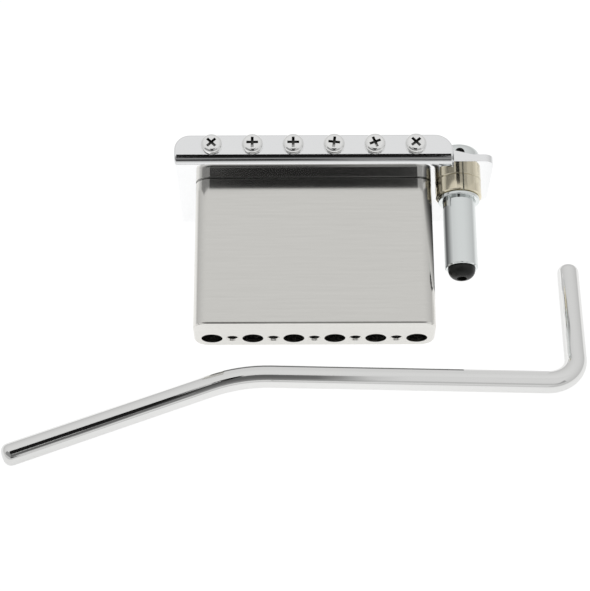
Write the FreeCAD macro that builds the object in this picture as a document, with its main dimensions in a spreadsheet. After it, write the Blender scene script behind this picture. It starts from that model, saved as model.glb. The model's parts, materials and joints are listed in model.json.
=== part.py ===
import FreeCAD, Part
import math
import os
import re

# Six-screw guitar tremolo bridge lying on its front, with its loose arm. Millimetres.
# The bridge is drawn upright: x to the treble side, y up from the plate's underside and
# z from the pivot row to the rear. It is then laid down about x, on the plate's front
# edge and the block's lower front edge, so that the table is level.

doc = FreeCAD.newDocument("tremolo_bridge")
sheet = doc.addObject("Spreadsheet::Sheet", "Sizes")

SIZES = (
    # shared
    ("string_pitch", 10.5),
    ("thread_gap", 0.05),
    ("clear_gap", 0.3),
    ("screw_radius", 1.45),
    ("socket_radius", 0.85),
    ("socket_deep", 1.5),
    # bent plate with its flange and ear
    ("plate_thick", 2.0),
    ("plate_half", 35.9),
    ("front_reach", 5.5),
    ("knife_rise", 1.0),
    ("knife_run", 1.5),
    ("flange_back", 31.3),
    ("flange_top", 8.0),
    ("bend_round", 3.0),
    ("corner_bass", 4.0),
    ("corner_treble", 6.0),
    ("edge_round", 0.6),
    ("ear_over", 8.25),
    ("ear_front", 8.5),
    ("ear_round", 2.5),
    ("web_run", 5.0),
    ("web_rise", 1.25),
    ("pivot_radius", 1.9),
    ("pivot_sink", 0.5),
    ("string_row", 12.4),
    ("string_hole", 1.6),
    # block
    ("block_inset", 1.1),
    ("block_tall", 41.0),
    ("block_back", 22.5),
    ("block_thick", 14.8),
    ("block_round", 3.75),
    ("block_edge", 0.35),
    ("string_bore", 2.7),
    ("string_depth", 30.0),
    ("string_neck", 1.3),
    ("claw_hole", 1.3),
    ("claw_sink", 0.4),
    ("claw_depth", 12.0),
    # screws that hold the block to the plate
    ("block_screw_row", 18.4),
    ("block_screw_pitch", 21.0),
    ("block_screw_radius", 1.95),
    ("block_screw_head", 3.7),
    ("block_screw_sink", 1.6),
    ("block_screw_reach", 9.0),
    ("block_socket", 1.4),
    ("tapped_deep", 10.0),
    # arm sleeve, its collar, ring, liner and tension screw
    ("sleeve_out", 0.5),
    ("sleeve_z", 19.0),
    ("sleeve_radius", 4.25),
    ("sleeve_end", 24.7),
    ("sleeve_head", 6.0),
    ("sleeve_top", 9.3),
    ("cap_round", 2.4),
    ("sleeve_bevel", 0.3),
    ("liner_radius", 3.5),
    ("liner_drop", 0.8),
    ("nose_out", 2.7),
    ("nose_round", 2.4),
    ("nose_hole", 1.3),
    ("nose_floor", 1.3),
    ("collar_radius", 5.95),
    ("collar_tall", 4.6),
    ("collar_bevel", 0.25),
    ("collar_slit", 0.4),
    ("slit_angle", 6.5),
    ("ring_radius", 5.4),
    ("ring_tall", 1.0),
    ("ring_round", 0.25),
    ("tension_angle", 2.5),
    ("tension_height", 6.05),
    ("tension_radius", 1.2),
    ("tension_long", 1.1),
    ("tension_socket", 0.6),
    ("tension_hex_radius", 0.7),
    # intonation screws, their springs, and saddles with height screws
    ("screw_height", 4.9),
    ("screw_tip", 14.6),
    ("screw_head", 2.75),
    ("head_tall", 1.7),
    ("head_round", 1.1),
    ("cross_long", 1.5),
    ("cross_wide", 0.7),
    ("cross_deep", 1.2),
    ("wire_thick", 0.5),
    ("coil_radius", 2.15),
    ("coil_turns", 7),
    ("saddle_gap", 0.3),
    ("saddle_lift", 0.6),
    ("saddle_front", 5.6),
    ("saddle_back", 20.5),
    ("saddle_tail", 7.6),
    ("hump_row", 8.3),
    ("hump_round", 2.4),
    ("hump_top", 9.2),
    ("slot_front", 10.6),
    ("slot_back", 15.6),
    ("slot_half", 1.7),
    ("groove_radius", 0.55),
    ("height_spread", 3.3),
    ("height_long", 7.0),
    # arm: a rod that lies on the table
    ("arm_radius", 2.85),
    ("arm_corner_x", 66.3),
    ("arm_corner_y", -56.5),
    ("arm_angle", 1.7),
    ("arm_shank", 39.0),
    ("arm_straight", 85.3),
    ("arm_grip", 62.8),
    ("crank_angle", 25.2),
    ("arm_corner_round", 7.6),
    ("arm_crank_round", 36.0),
    ("arm_end_round", 2.0),
)
for row, (alias, value) in enumerate(SIZES, 1):
    sheet.set(f"A{row}", alias)
    sheet.set(f"B{row}", str(value))
    sheet.setAlias(f"B{row}", alias)
doc.recompute()

ALIASES = {alias for alias, _ in SIZES}
CROSS_TURNS = (45, 0, 0, -7, 22, 42)
COUNT = 6
TOUCH = 1e-4
CORNER_SHARE = 0.95
# The sleeve's head stands clear of the outer saddle, and the block clear of the collar.
SADDLES_END = f"({COUNT} * string_pitch - saddle_gap) / 2"
SLEEVE_X = f"({SADDLES_END} + sleeve_out + sleeve_head)"
BLOCK_SIDE = f"({SLEEVE_X} - collar_radius - block_inset)"
EAR_END = f"{SLEEVE_X} + ear_over"
UP = FreeCAD.Rotation(FreeCAD.Vector(1, 0, 0), -90)
ACROSS = FreeCAD.Rotation(FreeCAD.Vector(0, 1, 0), 90)
BACK = FreeCAD.Rotation()
NODES = {}


def size(alias):
    return float(sheet.get(alias))


def bound(text):
    """Size names in a formula, tied to the sheet."""
    return re.sub(
        r"[a-z_]+",
        lambda word: f"Sizes.{word[0]}" if word[0] in ALIASES else word[0],
        text,
    )


def lane(index):
    """Centre of a string's lane."""
    return f"({index} - {(COUNT - 1) / 2}) * string_pitch"


def add(kind, name, at, turn, **lengths):
    obj = doc.addObject(kind, name)
    obj.Placement = FreeCAD.Placement(FreeCAD.Vector(), turn)
    for prop, text in lengths.items():
        obj.setExpression(prop, bound(text))
    for axis, text in zip("xyz", at):
        obj.setExpression(f"Placement.Base.{axis}", bound(text))
    return obj


def box(name, xs, ys, zs):
    spans = [f"({high}) - ({low})" for low, high in (xs, ys, zs)]
    corner = (xs[0], ys[0], zs[0])
    return add("Part::Box", name, corner, BACK, Length=spans[0], Width=spans[1], Height=spans[2])


def rod(name, at, turn, radius, length):
    return add("Part::Cylinder", name, at, turn, Radius=radius, Height=length)


def cone(name, at, turn, first, last, length):
    return add("Part::Cone", name, at, turn, Radius1=first, Radius2=last, Height=length)


def hexagon(name, at, turn, radius, length):
    prism = add("Part::Prism", name, at, turn, Circumradius=radius, Height=length)
    prism.Polygon = 6
    return prism


def fuse(name, *pieces):
    whole = doc.addObject("Part::MultiFuse", name)
    whole.Shapes = list(pieces)
    return whole


def cut(name, base, *tools):
    rest = doc.addObject("Part::Cut", name)
    rest.Base = base
    rest.Tool = tools[0] if len(tools) == 1 else fuse(f"{name}_tools", *tools)
    return rest


def edges(base, wanted):
    doc.recompute()
    return [i for i, edge in enumerate(base.Shape.Edges, 1) if wanted(edge.BoundBox)]


def rounded(name, base, radius, wanted):
    found = edges(base, wanted)
    smooth = doc.addObject("Part::Fillet", name)
    smooth.Base = base
    smooth.Edges = [(i, radius, radius) for i in found]
    return smooth


def bevelled(name, base, first, second, wanted):
    found = edges(base, wanted)
    slope = doc.addObject("Part::Chamfer", name)
    slope.Base = base
    slope.Edges = [(i, size(first), size(second)) for i in found]
    return slope


def near(value, target):
    return abs(value - target) < TOUCH


def flat_at(low, high, target):
    return near(low, target) and near(high, target)


# The lying pose: tilt about x, and the table's height below the pivot row.
drop = size("block_back") - size("block_thick") + size("front_reach")
run = size("block_tall") - size("block_edge") + size("knife_rise")
tilt = math.degrees(math.atan2(drop, run))
lying = FreeCAD.Placement(
    FreeCAD.Vector(), FreeCAD.Rotation(FreeCAD.Vector(1, 0, 0), tilt)
)
table = lying.multVec(FreeCAD.Vector(0, size("knife_rise"), -size("front_reach"))).z


def keep(name, obj):
    """A finished piece of the bridge, laid down."""
    obj.Label = name
    obj.Placement = lying
    NODES[name] = obj


# Plate: flat bed with a knife edge, quarter bend, upright flange, ear and end web.
bed = box(
    "bed_slab",
    ("-plate_half", "plate_half"),
    ("0", "plate_thick"),
    ("-front_reach", "flange_back - bend_round"),
)
bed = bevelled(
    "bed_knife", bed, "knife_run", "knife_rise",
    lambda b: flat_at(b.YMin, b.YMax, 0) and flat_at(b.ZMin, b.ZMax, -size("front_reach")),
)
bed = rounded(
    "bed_soft", bed, size("edge_round"),
    lambda b: flat_at(b.XMin, b.XMax, -size("plate_half")) and flat_at(b.YMin, b.YMax, 0),
)
bend_turn = FreeCAD.Rotation(FreeCAD.Vector(1, 0, 0), 180).multiply(ACROSS)
bend_at = ("-plate_half", "bend_round", "flange_back - bend_round")
bend = rod("bend_outer", bend_at, bend_turn, "bend_round", "2 * plate_half")
bend.Angle = 90
bend_core = rod("bend_core", bend_at, ACROSS, "bend_round - plate_thick", "2 * plate_half")
bend = cut("bend", bend, bend_core)
bend = rounded(
    "bend_soft", bend, size("edge_round"),
    lambda b: near(b.XMin, b.XMax) and near(b.YMin, 0) and near(b.ZMax, size("flange_back")),
)
flange = box(
    "flange_slab",
    ("-plate_half", "plate_half"),
    ("bend_round", "flange_top"),
    ("flange_back - plate_thick", "flange_back"),
)
flange_rise = size("flange_top") - size("bend_round")
for side, corner, sign in (("bass", "corner_bass", -1), ("treble", "corner_treble", 1)):
    end = sign * size("plate_half")
    flange = rounded(
        f"flange_{side}", flange, min(size(corner), CORNER_SHARE * flange_rise),
        lambda b: flat_at(b.YMin, b.YMax, size("flange_top")) and flat_at(b.XMin, b.XMax, end),
    )
flange = rounded(
    "flange_soft", flange, size("edge_round"),
    lambda b: flat_at(b.ZMin, b.ZMax, size("flange_back")) and b.YMax > size("bend_round") + TOUCH,
)
ear_slab = box(
    "ear_slab",
    ("plate_half", EAR_END),
    ("0", "plate_thick"),
    ("ear_front", "flange_back"),
)
ear = rounded(
    "ear_corners", ear_slab, size("ear_round"),
    lambda b: flat_at(b.XMin, b.XMax, ear_slab.Shape.BoundBox.XMax) and near(b.ZMin, b.ZMax),
)
web = add(
    "Part::Wedge", "web", ("0", "0", "0"), BACK,
    Xmin="plate_half", Xmax="plate_half + web_run",
    X2min="plate_half", X2max="plate_half",
    Ymin="plate_thick", Ymax="plate_thick + web_rise",
    Zmin="flange_back - plate_thick", Zmax="flange_back",
    Z2min="flange_back - plate_thick", Z2max="flange_back",
)
plate = fuse("plate_blank", bed, bend, flange, ear, web)
plate.Refine = True
holes = []
for i in range(COUNT):
    x = lane(i)
    holes.append(rod(f"pivot_{i}", (x, "0", "0"), UP, "pivot_radius", "plate_thick"))
    holes.append(cone(
        f"pivot_sink_{i}", (x, "0", "0"), UP,
        "pivot_radius + pivot_sink", "pivot_radius", "pivot_sink",
    ))
    holes.append(rod(f"string_{i}", (x, "0", "string_row"), UP, "string_hole", "plate_thick"))
    holes.append(rod(
        f"flange_hole_{i}", (x, "screw_height", "flange_back - plate_thick"), BACK,
        "screw_radius + clear_gap", "plate_thick",
    ))
block_screw_at = [f"{k} * block_screw_pitch" for k in (-1, 0, 1)]
for k, x in enumerate(block_screw_at):
    holes.append(rod(
        f"fixing_{k}", (x, "0", "block_screw_row"), UP,
        "block_screw_radius + thread_gap", "plate_thick",
    ))
    holes.append(cone(
        f"fixing_sink_{k}", (x, "plate_thick - block_screw_sink", "block_screw_row"), UP,
        "block_screw_radius + thread_gap", "block_screw_head + thread_gap", "block_screw_sink",
    ))
holes.append(rod(
    "sleeve_hole", (SLEEVE_X, "0", "sleeve_z"), UP, "sleeve_radius + thread_gap", "plate_thick",
))
keep("base_plate", cut("plate_done", plate, *holes))

# Block: rounded upright corners, bevelled ends, string bores, claw holes, tapped holes.
block = box(
    "block_slab",
    (f"-{BLOCK_SIDE}", BLOCK_SIDE),
    ("-block_tall", "0"),
    ("block_back - block_thick", "block_back"),
)
block = rounded(
    "block_corners", block, size("block_round"),
    lambda b: near(b.XMin, b.XMax) and near(b.ZMin, b.ZMax),
)
block = bevelled(
    "block_ends", block, "block_edge", "block_edge",
    lambda b: flat_at(b.YMin, b.YMax, -size("block_tall")) or flat_at(b.YMin, b.YMax, 0),
)
bores = []
for i in range(COUNT):
    x = lane(i)
    bores.append(rod(f"bore_{i}", (x, "-block_tall", "string_row"), UP, "string_bore", "string_depth"))
    bores.append(rod(f"neck_{i}", (x, "-block_tall", "string_row"), UP, "string_neck", "block_tall"))
for i in range(COUNT - 1):
    x = lane(i + 0.5)
    bores.append(rod(f"claw_{i}", (x, "-block_tall", "string_row"), UP, "claw_hole", "claw_depth"))
    bores.append(cone(
        f"claw_sink_{i}", (x, "-block_tall", "string_row"), UP,
        "claw_hole + claw_sink", "claw_hole", "claw_sink",
    ))
for k, x in enumerate(block_screw_at):
    bores.append(rod(
        f"tapped_{k}", (x, "-tapped_deep", "block_screw_row"), UP,
        "block_screw_radius + thread_gap", "tapped_deep",
    ))
keep("tremolo_block", cut("block_done", block, *bores))

# Countersunk screws through the plate into the block.
screws = []
for k, x in enumerate(block_screw_at):
    stem = rod(
        f"stem_{k}", (x, "-block_screw_reach", "block_screw_row"), UP,
        "block_screw_radius", "block_screw_reach + plate_thick",
    )
    head = cone(
        f"stem_head_{k}", (x, "plate_thick - block_screw_sink", "block_screw_row"), UP,
        "block_screw_radius", "block_screw_head", "block_screw_sink",
    )
    socket = hexagon(
        f"stem_socket_{k}", (x, "plate_thick - block_screw_sink", "block_screw_row"), UP,
        "block_socket", "block_screw_sink",
    )
    screws.append(cut(f"block_screw_{k}", fuse(f"stem_whole_{k}", stem, head), socket))
keep("block_screws", fuse("block_screws_done", *screws))

# Sleeve: body through the ear, wide head above it, liner bore and cross hole.
tension_way = FreeCAD.Rotation(FreeCAD.Vector(0, 1, 0), size("tension_angle"))
sleeve = fuse(
    "sleeve",
    rod(
        "sleeve_body", (SLEEVE_X, "-sleeve_end", "sleeve_z"), UP,
        "sleeve_radius", "sleeve_end + sleeve_top",
    ),
    rod(
        "sleeve_cap", (SLEEVE_X, "plate_thick", "sleeve_z"), UP,
        "sleeve_head", "sleeve_top - plate_thick",
    ),
)
sleeve = bevelled(
    "sleeve_soft", sleeve, "sleeve_bevel", "sleeve_bevel",
    lambda b: flat_at(b.YMin, b.YMax, -size("sleeve_end")),
)
sleeve = rounded(
    "sleeve_dome", sleeve, size("cap_round"),
    lambda b: flat_at(b.YMin, b.YMax, size("sleeve_top"))
    and near(b.XLength, 2 * size("sleeve_head")),
)
keep("arm_sleeve", cut(
    "sleeve_done", sleeve,
    rod(
        "liner_seat", (SLEEVE_X, "-sleeve_end", "sleeve_z"), UP,
        "liner_radius + thread_gap", "sleeve_end + sleeve_top",
    ),
    rod(
        "cross_hole", (SLEEVE_X, "tension_height", "sleeve_z"), tension_way,
        "tension_radius + thread_gap", "sleeve_head + clear_gap",
    ),
))

# Liner with its rounded nose, arm bore and end hole.
liner = rod(
    "liner_body", (SLEEVE_X, "-sleeve_end - nose_out", "sleeve_z"), UP,
    "liner_radius", "sleeve_end + nose_out + sleeve_top - liner_drop",
)
liner = rounded(
    "liner_nose", liner, size("nose_round"),
    lambda b: flat_at(b.YMin, b.YMax, -size("sleeve_end") - size("nose_out")),
)
keep("arm_bush", cut(
    "liner_done", liner,
    rod(
        "arm_bore", (SLEEVE_X, "-sleeve_end - nose_out + nose_floor", "sleeve_z"), UP,
        "arm_radius + thread_gap", "sleeve_end + nose_out - nose_floor + sleeve_top - liner_drop",
    ),
    rod(
        "end_hole", (SLEEVE_X, "-sleeve_end - nose_out", "sleeve_z"), UP,
        "nose_hole", "nose_floor",
    ),
))

# Split collar under the ear.
collar = rod(
    "collar_body", (SLEEVE_X, "-collar_tall", "sleeve_z"), UP, "collar_radius", "collar_tall",
)
collar = bevelled(
    "collar_soft", collar, "collar_bevel", "collar_bevel",
    lambda b: near(b.YMin, b.YMax),
)
slit = add(
    "Part::Box", "slit", (SLEEVE_X, "-collar_tall", "sleeve_z"),
    FreeCAD.Rotation(FreeCAD.Vector(0, 1, 0), size("slit_angle")),
    Length="collar_slit", Width="collar_tall", Height="collar_radius",
)
keep("sleeve_collar", cut(
    "collar_done", collar,
    rod(
        "collar_bore", (SLEEVE_X, "-collar_tall", "sleeve_z"), UP,
        "sleeve_radius + thread_gap", "collar_tall",
    ),
    slit,
))

# Ring that holds the collar up.
ring = rod(
    "ring_body", (SLEEVE_X, "-collar_tall - thread_gap - ring_tall", "sleeve_z"), UP,
    "ring_radius", "ring_tall",
)
ring = rounded("ring_soft", ring, size("ring_round"), lambda b: near(b.YMin, b.YMax))
keep("collar_ring", cut(
    "ring_done", ring,
    rod(
        "ring_bore", (SLEEVE_X, "-collar_tall - thread_gap - ring_tall", "sleeve_z"), UP,
        "sleeve_radius + thread_gap", "ring_tall",
    ),
))


def tension_at(out):
    """Point on the cross hole's axis."""
    return (
        f"{SLEEVE_X} + ({out}) * sin(tension_angle)",
        "tension_height",
        f"sleeve_z + ({out}) * cos(tension_angle)",
    )


# Tension screw in the sleeve's head, just clear of the liner.
keep("tension_screw", cut(
    "tension_done",
    rod(
        "tension_body", tension_at("liner_radius + thread_gap"), tension_way,
        "tension_radius", "tension_long",
    ),
    hexagon(
        "tension_hex", tension_at("liner_radius + thread_gap + tension_long - tension_socket"),
        tension_way, "tension_hex_radius", "tension_socket",
    ),
))


def quarter_arcs(start, start_way, stop, stop_way):
    """Two arcs that join two points smoothly."""
    chord = stop - start
    ways = start_way + stop_way
    across = chord.dot(ways)
    spread = 2 * (1 - start_way.dot(stop_way))
    reach = (-across + math.sqrt(across ** 2 + spread * chord.dot(chord))) / spread
    first = start + start_way * reach
    second = stop - stop_way * reach
    middle = (first + second) * 0.5
    arcs = []
    for low, knee, high in ((start, first, middle), (middle, second, stop)):
        half = (low + high) * 0.5
        rise = (half - knee).Length
        span = (high - low).Length / 2
        side = math.hypot(rise, span)
        bulge = knee + (half - knee) * (side / (side + span))
        arcs.append(Part.Arc(low, bulge, high))
    return arcs


def coil(length, radius, wire, turns):
    """One unbroken helical wire that starts at the origin plane and runs along z."""
    climb = (length - wire) / turns
    slope = climb / (2 * math.pi * radius)
    points = []
    for quarter in range(4 * turns + 1):
        angle = quarter * math.pi / 2
        point = FreeCAD.Vector(
            radius * math.cos(angle), radius * math.sin(angle), wire / 2 + climb * quarter / 4
        )
        way = FreeCAD.Vector(-math.sin(angle), math.cos(angle), slope)
        points.append((point, way.normalize()))
    arcs = []
    for (start, start_way), (stop, stop_way) in zip(points, points[1:]):
        arcs += quarter_arcs(start, start_way, stop, stop_way)
    path = Part.Wire([arc.toShape() for arc in arcs])
    round_wire = Part.Wire([Part.Circle(points[0][0], points[0][1], wire / 2).toShape()])
    tube = path.makePipeShell([round_wire], True, False)
    samples = [arc.value(arc.FirstParameter + (arc.LastParameter - arc.FirstParameter) * k / 4)
               for arc in arcs for k in range(4)]
    turn = len(samples) // turns
    least = min(
        samples[i].distanceToPoint(samples[j])
        for i in range(len(samples))
        for j in range(i + turn // 2, len(samples))
    )
    return tube, least - wire


# One string's set: screw, spring, saddle and two height screws.
spring_room = size("flange_back") - size("plate_thick") - size("saddle_back")
spring_tube, spring_gap = coil(
    spring_room - 2 * size("thread_gap"), size("coil_radius"), size("wire_thick"),
    int(size("coil_turns")),
)
print(f"saddle spring: least gap between turns {spring_gap:.3f} mm")
for i in range(COUNT):
    n = i + 1
    x = lane(i)
    shank = rod(
        f"shank_{n}", (x, "screw_height", "screw_tip"), BACK,
        "screw_radius", "flange_back - screw_tip",
    )
    pan = rod(
        f"pan_body_{n}", (x, "screw_height", "flange_back"), BACK, "screw_head", "head_tall",
    )
    pan = rounded(
        f"pan_soft_{n}", pan, size("head_round"),
        lambda b: flat_at(b.ZMin, b.ZMax, size("flange_back") + size("head_tall")),
    )
    recess = []
    for k in range(2):
        turn = FreeCAD.Rotation(FreeCAD.Vector(0, 0, 1), CROSS_TURNS[i] + 90 * k)
        corner = turn.multVec(FreeCAD.Vector(-size("cross_long"), -size("cross_wide") / 2, 0))
        recess.append(add(
            "Part::Box", f"recess_{n}_{k}",
            (
                f"{x} + {corner.x / size('cross_long')} * cross_long",
                f"screw_height + {corner.y / size('cross_long')} * cross_long",
                "flange_back + head_tall - cross_deep",
            ),
            turn, Length="2 * cross_long", Width="cross_wide", Height="cross_deep",
        ))
    keep(f"intonation_screw_{n}", cut(f"screw_{n}", fuse(f"screw_whole_{n}", shank, pan), *recess))

    spring = doc.addObject("Part::Feature", f"spring_{n}")
    spring.Shape = spring_tube
    spring.Label = f"saddle_spring_{n}"
    spring.Placement = lying.multiply(FreeCAD.Placement(
        FreeCAD.Vector(
            (i - (COUNT - 1) / 2) * size("string_pitch"),
            size("screw_height"),
            size("saddle_back") + size("thread_gap"),
        ),
        FreeCAD.Rotation(),
    ))
    NODES[spring.Label] = spring

    half = "(string_pitch - saddle_gap) / 2"
    low = "plate_thick + saddle_lift"
    tail = box(
        f"tail_{n}", (f"{x} - {half}", f"{x} + {half}"), (low, "saddle_tail"),
        ("saddle_front", "saddle_back"),
    )
    hump = rod(
        f"hump_{n}", (f"{x} - {half}", "hump_top - hump_round", "hump_row"), ACROSS,
        "hump_round", "string_pitch - saddle_gap",
    )
    openings = [
        box(
            f"slot_{n}", (f"{x} - slot_half", f"{x} + slot_half"), (low, "hump_top"),
            ("slot_front", "slot_back"),
        ),
        rod(
            f"tap_{n}", (x, "screw_height", "slot_front"), BACK,
            "screw_radius + thread_gap", "saddle_back - slot_front",
        ),
        rod(
            f"groove_{n}", (x, "hump_top", "saddle_front"), BACK,
            "groove_radius", "slot_back - saddle_front",
        ),
    ]
    for side, sign in (("bass", "-"), ("treble", "+")):
        at_x = f"{x} {sign} height_spread"
        openings.append(rod(
            f"height_hole_{n}_{side}", (at_x, low, "hump_row"), UP,
            "screw_radius + thread_gap", "hump_top",
        ))
        top = "plate_thick + thread_gap + height_long"
        keep(f"height_screw_{n}_{side}", cut(
            f"height_{n}_{side}",
            rod(
                f"height_body_{n}_{side}", (at_x, "plate_thick + thread_gap", "hump_row"), UP,
                "screw_radius", "height_long",
            ),
            hexagon(
                f"height_socket_{n}_{side}", (at_x, f"{top} - socket_deep", "hump_row"), UP,
                "socket_radius", "socket_deep",
            ),
        ))
    keep(f"saddle_{n}", cut(f"saddle_done_{n}", fuse(f"saddle_blank_{n}", tail, hump), *openings))

# Arm: one rod through three straights and two bends, flat on the table.
radius = size("arm_radius")
corner = FreeCAD.Vector(size("arm_corner_x"), size("arm_corner_y"), table + radius)
heading = math.radians(size("arm_angle"))
reach_way = FreeCAD.Vector(-math.cos(heading), math.sin(heading), 0)
shank_way = FreeCAD.Vector(math.sin(heading), math.cos(heading), 0)
droop = heading - math.radians(size("crank_angle"))
grip_way = FreeCAD.Vector(-math.cos(droop), math.sin(droop), 0)
knee = corner + reach_way * size("arm_straight")


def bend_between(point, back_way, out_way, round_by):
    """Start, middle and end of a bend at a corner."""
    opening = math.acos(max(-1, min(1, back_way.dot(out_way))))
    setback = round_by / math.tan(opening / 2)
    inward = (back_way + out_way).normalize()
    middle = point + inward * (round_by / math.sin(opening / 2) - round_by)
    return point + back_way * setback, middle, point + out_way * setback


shank_end = corner + shank_way * size("arm_shank")
grip_end = knee + grip_way * size("arm_grip")
first = bend_between(corner, shank_way, reach_way, size("arm_corner_round"))
second = bend_between(knee, reach_way * -1, grip_way, size("arm_crank_round"))
path = Part.Wire([
    Part.LineSegment(shank_end, first[0]).toShape(),
    Part.Arc(*first).toShape(),
    Part.LineSegment(first[2], second[0]).toShape(),
    Part.Arc(*second).toShape(),
    Part.LineSegment(second[2], grip_end).toShape(),
])
section = Part.Wire([Part.Circle(shank_end, shank_way, radius).toShape()])
arm_tube = path.makePipeShell([section], True, False)
ends = [
    edge for edge in arm_tube.Edges
    if any(near(edge.CenterOfMass.distanceToPoint(tip), 0) for tip in (shank_end, grip_end))
]
arm = doc.addObject("Part::Feature", "arm")
arm.Shape = arm_tube.makeFillet(size("arm_end_round"), ends)
arm.Label = "tremolo_arm"
NODES["tremolo_arm"] = arm

doc.recompute()
for obj in doc.Objects:
    if "Invalid" in obj.State or "Error" in obj.State:
        raise RuntimeError(f"{obj.Name}: {obj.State}")
os.makedirs("parts", exist_ok=True)
for name, obj in NODES.items():
    if obj.Shape.isNull() or not obj.Shape.isValid():
        raise RuntimeError(f"{name} has no valid shape")
    obj.Shape.exportStep(f"parts/{name}.step")
print(f"{len(NODES)} pieces, laid down by {tilt:.3f} degrees, table at {table:.4f} mm")
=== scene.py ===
"""Six-screw guitar tremolo bridge with its loose arm, on a pale studio table. Metres."""

import json
import math

import bpy
from mathutils import Matrix, Vector

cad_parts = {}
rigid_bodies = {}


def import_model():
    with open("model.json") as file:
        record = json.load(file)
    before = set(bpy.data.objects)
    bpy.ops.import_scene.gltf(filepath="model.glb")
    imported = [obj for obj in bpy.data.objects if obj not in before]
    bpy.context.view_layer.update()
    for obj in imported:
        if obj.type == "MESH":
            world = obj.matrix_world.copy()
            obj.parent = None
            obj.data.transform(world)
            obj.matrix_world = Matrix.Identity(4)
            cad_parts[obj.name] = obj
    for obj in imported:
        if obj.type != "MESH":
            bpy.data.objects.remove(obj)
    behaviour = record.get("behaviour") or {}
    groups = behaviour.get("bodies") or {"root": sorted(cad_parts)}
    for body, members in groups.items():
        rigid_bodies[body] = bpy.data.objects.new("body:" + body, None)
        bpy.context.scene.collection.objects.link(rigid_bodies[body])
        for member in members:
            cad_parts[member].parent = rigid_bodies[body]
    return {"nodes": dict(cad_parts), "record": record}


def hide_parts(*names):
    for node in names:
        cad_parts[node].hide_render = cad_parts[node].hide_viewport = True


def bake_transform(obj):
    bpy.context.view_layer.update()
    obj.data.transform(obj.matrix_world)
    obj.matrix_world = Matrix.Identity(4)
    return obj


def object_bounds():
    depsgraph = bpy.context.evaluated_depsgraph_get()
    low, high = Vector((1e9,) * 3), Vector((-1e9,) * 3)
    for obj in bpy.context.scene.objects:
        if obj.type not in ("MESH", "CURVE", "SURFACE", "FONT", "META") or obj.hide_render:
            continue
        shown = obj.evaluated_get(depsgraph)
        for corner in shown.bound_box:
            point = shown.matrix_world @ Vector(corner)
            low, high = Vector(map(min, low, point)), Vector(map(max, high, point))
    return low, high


MM = 0.001

# The camera, fitted to the photograph.
PHOTO_WIDTH = 590
FOCAL_PIXELS = 1891.65
HALF_PIXEL = 0.5 / PHOTO_WIDTH
SENSOR = 36.0
NEAREST = 10 * MM
CAMERA_AT = Vector((-4.8, -353.5, 371.9)) * MM
CAMERA_PITCH = math.radians(41.11)
CAMERA_ROLL = math.radians(-0.2)

for leftover in list(bpy.data.objects):
    bpy.data.objects.remove(leftover)
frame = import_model()
cad_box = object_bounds()
nodes = frame["nodes"]
mounts = {mount["name"]: mount for mount in frame["record"]["mounts"]}
joints = {joint["name"]: joint for joint in frame["record"]["behaviour"]["joints"]}

# Directions of the table, and the bridge's own: up from the plate and to the rear.
ACROSS = Vector((1, 0, 0))
AWAY = Vector((0, 1, 0))
HIGH = Vector((0, 0, 1))
UP = Vector(mounts["pivot_screws_inner"]["axis"]).normalized()
REAR = ACROSS.cross(UP)
TABLE = cad_box[0].z


def extent(name, way):
    """The lowest and highest place of a piece along a direction, in millimetres."""
    places = [vertex.co.dot(way) / MM for vertex in nodes[name].data.vertices]
    return min(places), max(places)


# Places on the bridge, in millimetres along its own axes.
STRINGS = 6
STRING_PITCH = mounts["pivot_screws_inner"]["dims"]["pcd_mm"]
FIRST_HEAD = Vector(joints["intonation_spin_1"]["pos_m"]) / MM
SCREW_HEIGHT = FIRST_HEAD.dot(UP)
HEAD_SEAT = FIRST_HEAD.dot(REAR)
HEAD_TOP = extent("intonation_screw_1", REAR)[1]
BLOCK_LOW = extent("tremolo_block", UP)[0]
BLOCK_BACK = extent("tremolo_block", REAR)[1]
ARRIS = 0.33  # width of the block's rounded edges, painted dark as shade, as is a strip along its joint with the plate
RECESS_REACH = 1.58  # from the screw's axis to the ends of its cross
RECESS_RIM = 0.08  # bright rim below the top of the head
RECESS_FLOOR = 0.4  # metal left between the recess and the head's seat
SKEW = 0.1  # keeps a groove's direction off every face normal


def bridge_point(across, up, rear):
    """A place on the bridge, given in millimetres from the pivot row."""
    return (ACROSS * across + UP * up + REAR * rear) * MM


def spot(across, away, high):
    """A place in the studio, given in millimetres."""
    return Vector((across, away, high)) * MM


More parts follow.
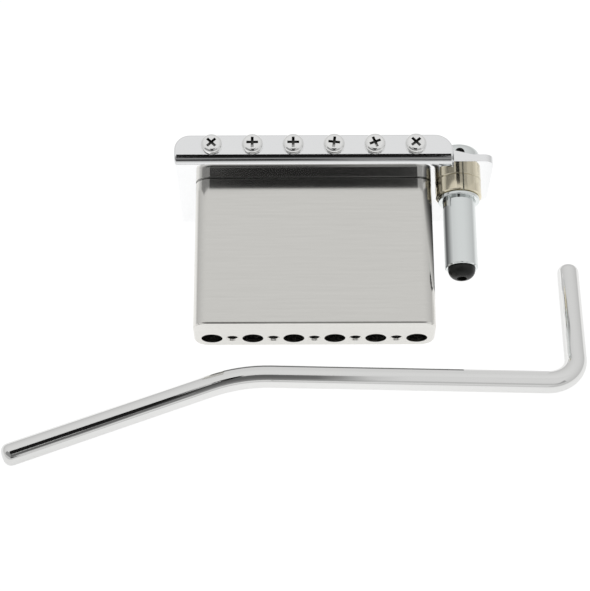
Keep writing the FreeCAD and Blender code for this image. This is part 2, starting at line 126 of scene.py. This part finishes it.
class Look:
    """A material whose nodes are added one by one to a principled shader."""

    def __init__(self, name, **sockets):
        self.material = bpy.data.materials.new(name)
        self.material.use_nodes = True
        self.tree = self.material.node_tree
        self.shader = self.tree.nodes["Principled BSDF"]
        for socket, value in sockets.items():
            self.shader.inputs[socket.replace("_", " ")].default_value = value

    def node(self, kind, links=None, settings=None, **values):
        made = self.tree.nodes.new(kind)
        for key, value in (settings or {}).items():
            setattr(made, key, value)
        for socket, value in values.items():
            made.inputs[socket.replace("_", " ")].default_value = value
        for socket, source in (links or {}).items():
            self.tree.links.new(source, made.inputs[socket])
        return made

    def number(self, operation, *terms):
        """A sum, product or comparison of sockets and plain numbers."""
        made = self.node("ShaderNodeMath", settings={"operation": operation})
        for index, term in enumerate(terms):
            if isinstance(term, (int, float)):
                made.inputs[index].default_value = term
            else:
                self.tree.links.new(term, made.inputs[index])
        return made.outputs[0]

    def bridge_space(self, scale=(1, 1, 1)):
        """Coordinates along the bridge's axes, stretched per axis."""
        place = self.node("ShaderNodeTexCoord").outputs["Object"]
        turned = self.node(
            "ShaderNodeVectorRotate", {"Vector": place}, {"rotation_type": "X_AXIS"},
            Angle=-math.atan2(UP.z, UP.y),
        )
        return self.node("ShaderNodeMapping", {"Vector": turned.outputs[0]}, Scale=scale).outputs[0]

    def bridge_axes(self):
        """Millimetres across, up and to the rear."""
        return self.node("ShaderNodeSeparateXYZ", {0: self.bridge_space((1 / MM,) * 3)}).outputs

    def noise(self, vector, scale, detail=3.0, roughness=0.5):
        """Cloudy pattern from 0 to 1, with a scale in features per metre."""
        made = self.node("ShaderNodeTexNoise", {"Vector": vector}, Scale=scale, Detail=detail)
        made.inputs["Roughness"].default_value = roughness
        return made.outputs["Fac"]

    def spread(self, source, low, high, start=0.3, stop=0.7):
        """A value that goes from low to high while its source goes from start to stop."""
        made = self.node(
            "ShaderNodeMapRange", {"Value": source},
            From_Min=start, From_Max=stop, To_Min=low, To_Max=high,
        )
        return made.outputs["Result"]

    def tint(self, factor, first, second):
        """Blend of two colours, each a plain colour or a socket."""
        made = self.node("ShaderNodeMix", {"Factor": factor}, {"data_type": "RGBA"})
        places = [socket for socket in made.inputs if socket.type == "RGBA"]
        for place, colour in zip(places, (first, second)):
            if isinstance(colour, tuple):
                place.default_value = (*colour, 1)
            else:
                self.tree.links.new(colour, place)
        return next(socket for socket in made.outputs if socket.type == "RGBA")

    def drive(self, socket, source):
        self.tree.links.new(source, self.shader.inputs[socket])

    def relief(self, source, depth, edge=0.0):
        """Surface relief of a real depth, over edges softened by a small radius."""
        made = self.node("ShaderNodeBump", {"Height": source}, Distance=depth, Strength=1.0)
        if edge:
            soft = self.node("ShaderNodeBevel", settings={"samples": 4}, Radius=edge)
            self.tree.links.new(soft.outputs[0], made.inputs["Normal"])
        self.drive("Normal", made.outputs[0])


def scaled(colour, share):
    return tuple(share * part for part in colour)


def polished_chrome(name, colour, wave_depth):
    """Mirror plating with faint smears and the slow waviness of a buffed face."""
    look = Look(name, Metallic=1.0, Base_Color=(*colour, 1))
    place = look.bridge_space()
    smear = look.noise(place, scale=180.0, detail=4.0)
    cloud = look.noise(place, scale=60.0)
    wave = look.noise(place, scale=90.0, detail=1.0)
    look.drive("Roughness", look.spread(smear, low=0.035, high=0.075))
    look.drive("Base Color", look.tint(cloud, scaled(colour, 0.97), colour))
    look.relief(wave, depth=wave_depth, edge=0.12 * MM)
    return look.material


def ground_steel(name):
    """Steel ground along the strings' row: grooves run across, so highlights stretch up and down."""
    groove, ridge, edge_shade_grey = (0.68, 0.67, 0.64), (0.76, 0.75, 0.72), (0.3, 0.295, 0.28)
    look = Look(name, Metallic=1.0, Base_Color=(0.72, 0.71, 0.68, 1), Anisotropic=0.3)
    streaks = look.noise(look.bridge_space((0.03, 1, 1)), scale=2600.0, detail=4.0, roughness=0.6)
    cloud = look.noise(look.bridge_space((0.3, 1, 1)), scale=60.0)
    look.drive("Roughness", look.spread(cloud, low=0.13, high=0.155))
    _, up, rear = look.bridge_axes()
    # Painted shade: the block's low rear edge and a strip along its joint with the plate are painted
    # dark grey.
    low_edge = look.number("LESS_THAN", up, BLOCK_LOW + ARRIS)
    rear_edge = look.number("GREATER_THAN", rear, BLOCK_BACK - ARRIS)
    joint_shade = look.number("GREATER_THAN", up, -ARRIS)
    edges = look.number("MAXIMUM", look.number("MULTIPLY", low_edge, rear_edge), joint_shade)
    look.drive("Base Color", look.tint(edges, look.tint(streaks, groove, ridge), edge_shade_grey))
    look.relief(streaks, depth=0.0012 * MM, edge=0.06 * MM)
    normal = look.node("ShaderNodeNewGeometry").outputs["Normal"]
    spread_way = look.node("ShaderNodeVectorMath", {0: normal}, {"operation": "CROSS_PRODUCT"})
    spread_way.inputs[1].default_value = ACROSS + UP * SKEW
    look.drive("Tangent", spread_way.outputs["Vector"])
    return look.material


def plated_steel(name, colour, smooth, rough):
    """Small plated parts, a little duller and mottled."""
    look = Look(name, Metallic=1.0, Base_Color=(*colour, 1))
    mottle = look.noise(look.bridge_space(), scale=900.0, detail=4.0)
    look.drive("Roughness", look.spread(mottle, low=smooth, high=rough))
    look.drive("Base Color", look.tint(mottle, scaled(colour, 0.88), colour))
    look.relief(mottle, depth=0.003 * MM, edge=0.08 * MM)
    return look.material


def cross_head(name, colour):
    """Plated screws whose driver recess is dull, and painted with shade: dark in its upper half and at
    its ends.
    """
    pale, dark, dulling = (0.55, 0.55, 0.54), (0.1, 0.1, 0.095), 0.3
    look = Look(name, Metallic=1.0, Base_Color=(*colour, 1))
    mottle = look.noise(look.bridge_space(), scale=900.0, detail=4.0)
    across, up, rear = look.bridge_axes()
    lane = look.number("WRAP", across, STRING_PITCH, 0.0)
    aside = look.number("SUBTRACT", lane, STRING_PITCH / 2)
    rise = look.number("SUBTRACT", up, SCREW_HEIGHT)
    squares = [look.number("POWER", side, 2.0) for side in (aside, rise)]
    reach = look.number("SQRT", look.number("ADD", *squares))
    inside = look.number("LESS_THAN", reach, RECESS_REACH)
    below_rim = look.number("LESS_THAN", rear, HEAD_TOP - RECESS_RIM)
    above_seat = look.number("GREATER_THAN", rear, HEAD_SEAT + RECESS_FLOOR)
    for limit in (below_rim, above_seat):
        inside = look.number("MULTIPLY", inside, limit)
    # Painted shade: the recess is grey, and dark in its upper half and at the ends of the cross.
    shaded_upper_half = look.spread(rise, low=0.0, high=1.0, start=-0.5, stop=0.1)
    shaded_slot_ends = look.spread(reach, low=0.0, high=1.0, start=0.9, stop=1.2)
    recess_shade = look.tint(look.number("MAXIMUM", shaded_upper_half, shaded_slot_ends), pale, dark)
    plating = look.tint(mottle, scaled(colour, 0.9), colour)
    look.drive("Base Color", look.tint(inside, plating, recess_shade))
    dull = look.number("MULTIPLY", inside, dulling)
    look.drive("Roughness", look.number("ADD", look.spread(mottle, low=0.06, high=0.13), dull))
    look.relief(mottle, depth=0.003 * MM, edge=0.1 * MM)
    return look.material


def drawn_wire(name, colour):
    """Spring wire with fine drawing marks."""
    look = Look(name, Metallic=1.0, Base_Color=(*colour, 1))
    marks = look.noise(look.bridge_space(), scale=2500.0)
    look.drive("Roughness", look.spread(marks, low=0.15, high=0.3))
    look.drive("Base Color", look.tint(marks, scaled(colour, 0.85), colour))
    look.relief(marks, depth=0.002 * MM)
    return look.material


def nickel_collar(name):
    """Warm nickel turned on a lathe, with faint streaks along the collar's axis."""
    dark, pale = (0.68, 0.62, 0.475), (0.92, 0.85, 0.67)
    look = Look(name, Metallic=1.0, Base_Color=(0.74, 0.68, 0.525, 1), Anisotropic=0.85)
    streaks = look.noise(look.bridge_space((1, 0.04, 1)), scale=900.0)
    look.drive("Roughness", look.spread(streaks, low=0.12, high=0.16))
    look.drive("Base Color", look.tint(streaks, dark, pale))
    look.relief(streaks, depth=0.002 * MM, edge=0.08 * MM)
    axis = UP + ACROSS * SKEW
    look.drive("Tangent", look.node("ShaderNodeCombineXYZ", X=axis.x, Y=axis.y, Z=axis.z).outputs[0])
    return look.material


def black_liner(name):
    """Moulded black plastic with a fine satin skin."""
    dark, pale = (0.007, 0.008, 0.007), (0.013, 0.014, 0.013)
    look = Look(name, Base_Color=(0.01, 0.011, 0.01, 1), Specular_IOR_Level=0.3)
    skin = look.noise(look.bridge_space(), scale=4000.0, detail=2.0)
    look.drive("Roughness", look.spread(skin, low=0.3, high=0.42))
    look.drive("Base Color", look.tint(skin, dark, pale))
    look.relief(skin, depth=0.003 * MM, edge=0.15 * MM)
    return look.material


LOOKS = {
    "chrome_plate": polished_chrome("chrome_plate", (0.93, 0.935, 0.94), wave_depth=0.002 * MM),
    # Painted shade: the sleeve's chrome is a darker copy of the plate's, for the darker surroundings it
    # mirrors.
    "chrome_sleeve": polished_chrome("chrome_sleeve", (0.80, 0.83, 0.825), wave_depth=0.001 * MM),
    "chrome_arm": polished_chrome("chrome_arm", (0.85, 0.85, 0.84), wave_depth=0.001 * MM),
    "ground_steel": ground_steel("ground_steel"),
    "chrome_screw": cross_head("chrome_screw", (0.95, 0.95, 0.94)),
    "saddle_steel": plated_steel("saddle_steel", (0.86, 0.86, 0.86), smooth=0.08, rough=0.2),
    "spring_steel": drawn_wire("spring_steel", (0.68, 0.68, 0.68)),
    "grub_steel": plated_steel("grub_steel", (0.5, 0.5, 0.5), smooth=0.2, rough=0.35),
    "black_oxide": plated_steel("black_oxide", (0.03, 0.03, 0.03), smooth=0.4, rough=0.55),
    "nickel_collar": nickel_collar("nickel_collar"),
    "black_liner": black_liner("black_liner"),
}
for subpart in frame["record"]["subparts"]:
    piece = nodes[subpart["node"]]
    piece.data.materials.clear()
    piece.data.materials.append(LOOKS[subpart["material_slot"]])


def add_springs():
    """Loose copies of the saddle springs' coils, shown in place of the hidden springs."""
    for number in range(1, STRINGS + 1):
        node = nodes[f"saddle_spring_{number}"]
        coil = bpy.data.objects.new(f"saddle_coil_{number}", node.data.copy())
        bpy.context.scene.collection.objects.link(coil)
        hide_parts(node.name)
        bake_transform(coil)


def add_camera():
    """The viewer's place in the photograph, above and before the arm."""
    data = bpy.data.cameras.new("camera")
    data.sensor_fit = "HORIZONTAL"
    data.sensor_width = SENSOR
    data.lens = SENSOR * FOCAL_PIXELS / PHOTO_WIDTH
    data.shift_x = -HALF_PIXEL
    data.shift_y = HALF_PIXEL
    data.clip_start = NEAREST
    camera = bpy.data.objects.new("camera", data)
    camera.matrix_world = (
        Matrix.Translation(CAMERA_AT)
        @ Matrix.Rotation(CAMERA_PITCH, 4, "X")
        @ Matrix.Rotation(CAMERA_ROLL, 4, "Z")
    )
    bpy.context.scene.collection.objects.link(camera)
    bpy.context.scene.camera = camera


def sheet_object(name, corners):
    """A flat sheet of the studio, not part of the object."""
    mesh = bpy.data.meshes.new(name)
    mesh.from_pydata([tuple(corner) for corner in corners], [], [tuple(range(len(corners)))])
    obj = bpy.data.objects.new(name, mesh)
    bpy.context.scene.collection.objects.link(obj)
    return obj


def add_floor():
    """White table: bright to the eye, and in metal it keeps the soft shade beside each piece."""
    half = 4.0
    seen_grey, echo_grey = 0.2, 0.38
    floor = sheet_object("floor", [
        (-half, -half, TABLE), (half, -half, TABLE), (half, half, TABLE), (-half, half, TABLE),
    ])
    look = Look("table_white")
    tree = look.tree
    tree.nodes.remove(look.shader)
    place = look.node("ShaderNodeTexCoord").outputs["Object"]
    distance = look.node("ShaderNodeVectorMath", {0: place}, {"operation": "LENGTH"}).outputs["Value"]
    across, away, _ = look.node("ShaderNodeSeparateXYZ", {0: place}).outputs
    path = look.node("ShaderNodeLightPath").outputs

    seen_fade = look.spread(distance, low=0.92, high=0.66, start=220 * MM, stop=700 * MM)
    seen = look.number("MULTIPLY", path["Is Camera Ray"], seen_fade)

    # Painted glow: in metal the table is a little brighter behind the arm, as far as the arm's bend,
    # and brighter near the bridge than farther off.
    mirrored = look.number("MAXIMUM", path["Is Glossy Ray"], path["Is Transmission Ray"])
    echo_fade = look.spread(distance, low=0.72, high=0.44, start=60 * MM, stop=180 * MM)
    behind_arm = look.spread(away, low=0.0, high=0.12, start=-56 * MM, stop=-50 * MM)
    before_bend = look.spread(across, low=1.0, high=0.0, start=46 * MM, stop=52 * MM)
    painted_arm_glow = look.number("MULTIPLY", behind_arm, before_bend)
    echo = look.number("MULTIPLY", mirrored, look.number("ADD", echo_fade, painted_arm_glow))

    layers = []
    for strength, grey in ((seen, seen_grey), (echo, echo_grey)):
        shine = look.node("ShaderNodeEmission", {"Strength": strength}, Color=(1, 1, 1, 1))
        matt = look.node("ShaderNodeBsdfDiffuse", Color=(grey, grey, grey, 1))
        both = look.node("ShaderNodeAddShader", {0: shine.outputs[0], 1: matt.outputs[0]})
        layers.append(both.outputs[0])
    seen_layer, echo_layer = layers
    choice = look.node("ShaderNodeMixShader", {0: path["Is Camera Ray"], 1: echo_layer, 2: seen_layer})
    tree.links.new(choice.outputs[0], tree.nodes["Material Output"].inputs["Surface"])
    floor.data.materials.append(look.material)


def add_flag(name, corners, along, stops):
    """A one-sided studio card that only shows in polished metal, shaded along one direction.

    Each stop is a place along that direction, in millimetres, and the card's grey there.
    """
    card = sheet_object(name, corners)
    look = Look(name)
    look.tree.nodes.remove(look.shader)
    place = look.node("ShaderNodeTexCoord").outputs["Object"]
    level = look.node("ShaderNodeVectorMath", {0: place}, {"operation": "DOT_PRODUCT"})
    level.inputs[1].default_value = along
    low, high = stops[0][0], stops[-1][0]
    share = look.spread(level.outputs["Value"], low=0.0, high=1.0, start=low * MM, stop=high * MM)
    ramp = look.node("ShaderNodeValToRGB", {"Fac": share})
    marks = ramp.color_ramp.elements
    while len(marks) < len(stops):
        marks.new(0.5)
    for mark, (place_mm, grey) in zip(marks, stops):
        mark.position = (place_mm - low) / (high - low)
        mark.color = (grey, grey, grey, 1)
    shine = look.node("ShaderNodeEmission", {"Color": ramp.outputs["Color"]}, Strength=1.0)
    clear = look.node("ShaderNodeBsdfTransparent")
    behind = look.node("ShaderNodeNewGeometry").outputs["Backfacing"]
    choice = look.node("ShaderNodeMixShader", {0: behind, 1: shine.outputs[0], 2: clear.outputs[0]})
    look.tree.links.new(choice.outputs[0], look.tree.nodes["Material Output"].inputs["Surface"])
    card.data.materials.append(look.material)
    card.visible_camera = False
    card.visible_diffuse = False
    card.visible_transmission = False
    card.visible_shadow = False


def far_flags():
    """A dark card far before the bridge and one above it, which the bend and the block mirror."""
    left, right = -70, 80
    front, low, top = -350, 46, 391
    roof_back, roof_height = -104, 337
    add_flag(
        "far_flag",
        [
            spot(left, front, low), spot(left, front, top),
            spot(right, front, top), spot(right, front, low),
        ],
        HIGH,
        [(low, 0.4), (58, 0.05), (104, 0.05), (124, 0.24), (260, 0.24), (310, 0.02), (top, 0.01)],
    )
    add_flag(
        "far_roof",
        [
            spot(left, front, top), spot(left, roof_back, roof_height),
            spot(right, roof_back, roof_height), spot(right, front, top),
        ],
        AWAY,
        [(front, 0.01), (roof_back, 0.006)],
    )


def arm_flags():
    """Level cards above the arm's straight part, seen from below: pale, with grey to the left."""
    left, right, height = -16, 80, 18
    bands = (
        (-57.5, -61, [(left, 0.74), (right, 0.74)]),
        (-61, -74, [(left, 0.12), (0, 0.16), (6, 0.3), (14, 0.62), (24, 0.74), (right, 0.76)]),
        (-74, -84, [(left, 0.15), (0, 0.18), (6, 0.35), (16, 0.66), (24, 0.74), (right, 0.74)]),
        (-84, -110, [(left, 0.2), (6, 0.35), (16, 0.55), (right, 0.56)]),
        (-110, -320, [(left, 0.74), (right, 0.74)]),
    )
    for index, (back, front, stops) in enumerate(bands):
        add_flag(
            f"arm_card_{index}",
            [
                spot(left, back, height), spot(right, back, height),
                spot(right, front, height), spot(left, front, height),
            ],
            ACROSS,
            stops,
        )


def line_flags():
    """Upright cards behind the arm, dark at the foot along its straight part and pale past it."""
    left, join, right = -24, 38.3, 60
    back, foot, top = -47, TABLE / MM, 8
    lines = (("line_flag", left, join, 0.16), ("line_end_flag", join, right, 0.8))
    for name, start, stop, grey in lines:
        add_flag(
            name,
            [
                spot(start, back, foot), spot(stop, back, foot),
                spot(stop, back, top), spot(start, back, top),
            ],
            HIGH,
            [(foot, grey), (0.4, grey), (1.3, 0.72), (top, 0.74)],
        )


def grip_flags():
    """Two sloping cards above and before the arm's grip, a black one and then a dark grey one."""
    left, right = spot(-86, -90, 62), spot(8, -75, 62)
    black_end, grey_end = spot(14, -36, -6), spot(32, -81, -20)
    grey_start = black_end * 1.12
    add_flag(
        "grip_flag",
        [left, right, right + black_end, left + black_end],
        ACROSS,
        [(-90, 0.01), (-12, 0.012), (0, 0.06), (8, 0.14), (25, 0.35)],
    )
    add_flag(
        "grip_edge_flag",
        [left + grey_start, right + grey_start, right + grey_end, left + grey_end],
        ACROSS,
        [(-90, 0.13), (-12, 0.14), (8, 0.18), (40, 0.4)],
    )


def side_flags():
    """Grey cards to the left and to the right, which the rounded sides mirror."""
    low, shoulder, top = 72, 231, 290
    left_grey, right_grey = 0.28, 0.4
    add_flag(
        "left_flag",
        [spot(-69, -292, low), spot(-271, -129, low), spot(-204, -99, shoulder), spot(-59, -221, top)],
        HIGH,
        [(low, left_grey), (top, left_grey)],
    )
    add_flag(
        "right_flag",
        [spot(69, -292, low), spot(59, -221, top), spot(180, -150, shoulder), spot(232, -200, low)],
        HIGH,
        [(low, right_grey), (top, right_grey)],
    )


def socket_flags():
    """Upright cards between block and sleeve, one mirrored in the block's corner, one in the sleeve, as
    painted shade of the gap between them.
    """
    corner_side, corner_top, corner_low = 32.6, -1, -29.5
    corner_front, corner_low_back, corner_top_back = 10, 20.3, 27.2
    corner_slope = 0.29
    # Painted shade: this card darkens the block's rounded corner next to the sleeve.
    add_flag(
        "corner_shade_card",
        [
            bridge_point(corner_side, corner_top, corner_front),
            bridge_point(corner_side, corner_low, corner_front),
            bridge_point(corner_side, corner_low, corner_low_back),
            bridge_point(corner_side, corner_top, corner_top_back),
        ],
        REAR - UP * corner_slope,
        [(21.5, 0.04), (23.3, 0.1), (24.3, 0.18), (25.2, 0.28), (26, 0.38), (27, 0.55), (28.4, 0.74)],
    )
    sleeve_side, sleeve_top, sleeve_low = 32.8, -7, -25
    sleeve_front, sleeve_back = 9, 24.5
    # Painted shade: this card draws a dark line in the sleeve beside the block.
    add_flag(
        "sleeve_shade_card",
        [
            bridge_point(sleeve_side, sleeve_low, sleeve_back),
            bridge_point(sleeve_side, sleeve_low, sleeve_front),
            bridge_point(sleeve_side, sleeve_top, sleeve_front),
            bridge_point(sleeve_side, sleeve_top, sleeve_back),
        ],
        REAR,
        [
            (18, 0.7), (18.6, 0.6), (19.5, 0.3), (20.2, 0.1), (21, 0.2), (21.6, 0.3), (22.2, 0.4),
            (22.9, 0.55), (sleeve_back, 0.76),
        ],
    )


def add_world():
    """Pale studio: bright overhead, softer towards the horizon."""
    horizon_glow, overhead_glow, overhead_from = 0.58, 0.78, 0.95
    world = bpy.data.worlds.new("studio")
    bpy.context.scene.world = world
    world.use_nodes = True
    tree = world.node_tree
    place = tree.nodes.new("ShaderNodeTexCoord")
    split = tree.nodes.new("ShaderNodeSeparateXYZ")
    tree.links.new(place.outputs["Generated"], split.inputs[0])
    ramp = tree.nodes.new("ShaderNodeMapRange")
    ramp.inputs["From Min"].default_value = 0.0
    ramp.inputs["From Max"].default_value = overhead_from
    ramp.inputs["To Min"].default_value = horizon_glow
    ramp.inputs["To Max"].default_value = overhead_glow
    tree.links.new(split.outputs["Z"], ramp.inputs["Value"])
    tree.links.new(ramp.outputs[0], tree.nodes["Background"].inputs["Strength"])
    tree.nodes["Background"].inputs["Color"].default_value = (1, 1, 1, 1)


add_springs()
add_camera()
add_floor()
far_flags()
arm_flags()
line_flags()
grip_flags()
side_flags()
socket_flags()
add_world()
bpy.context.scene.view_settings.view_transform = "Standard"
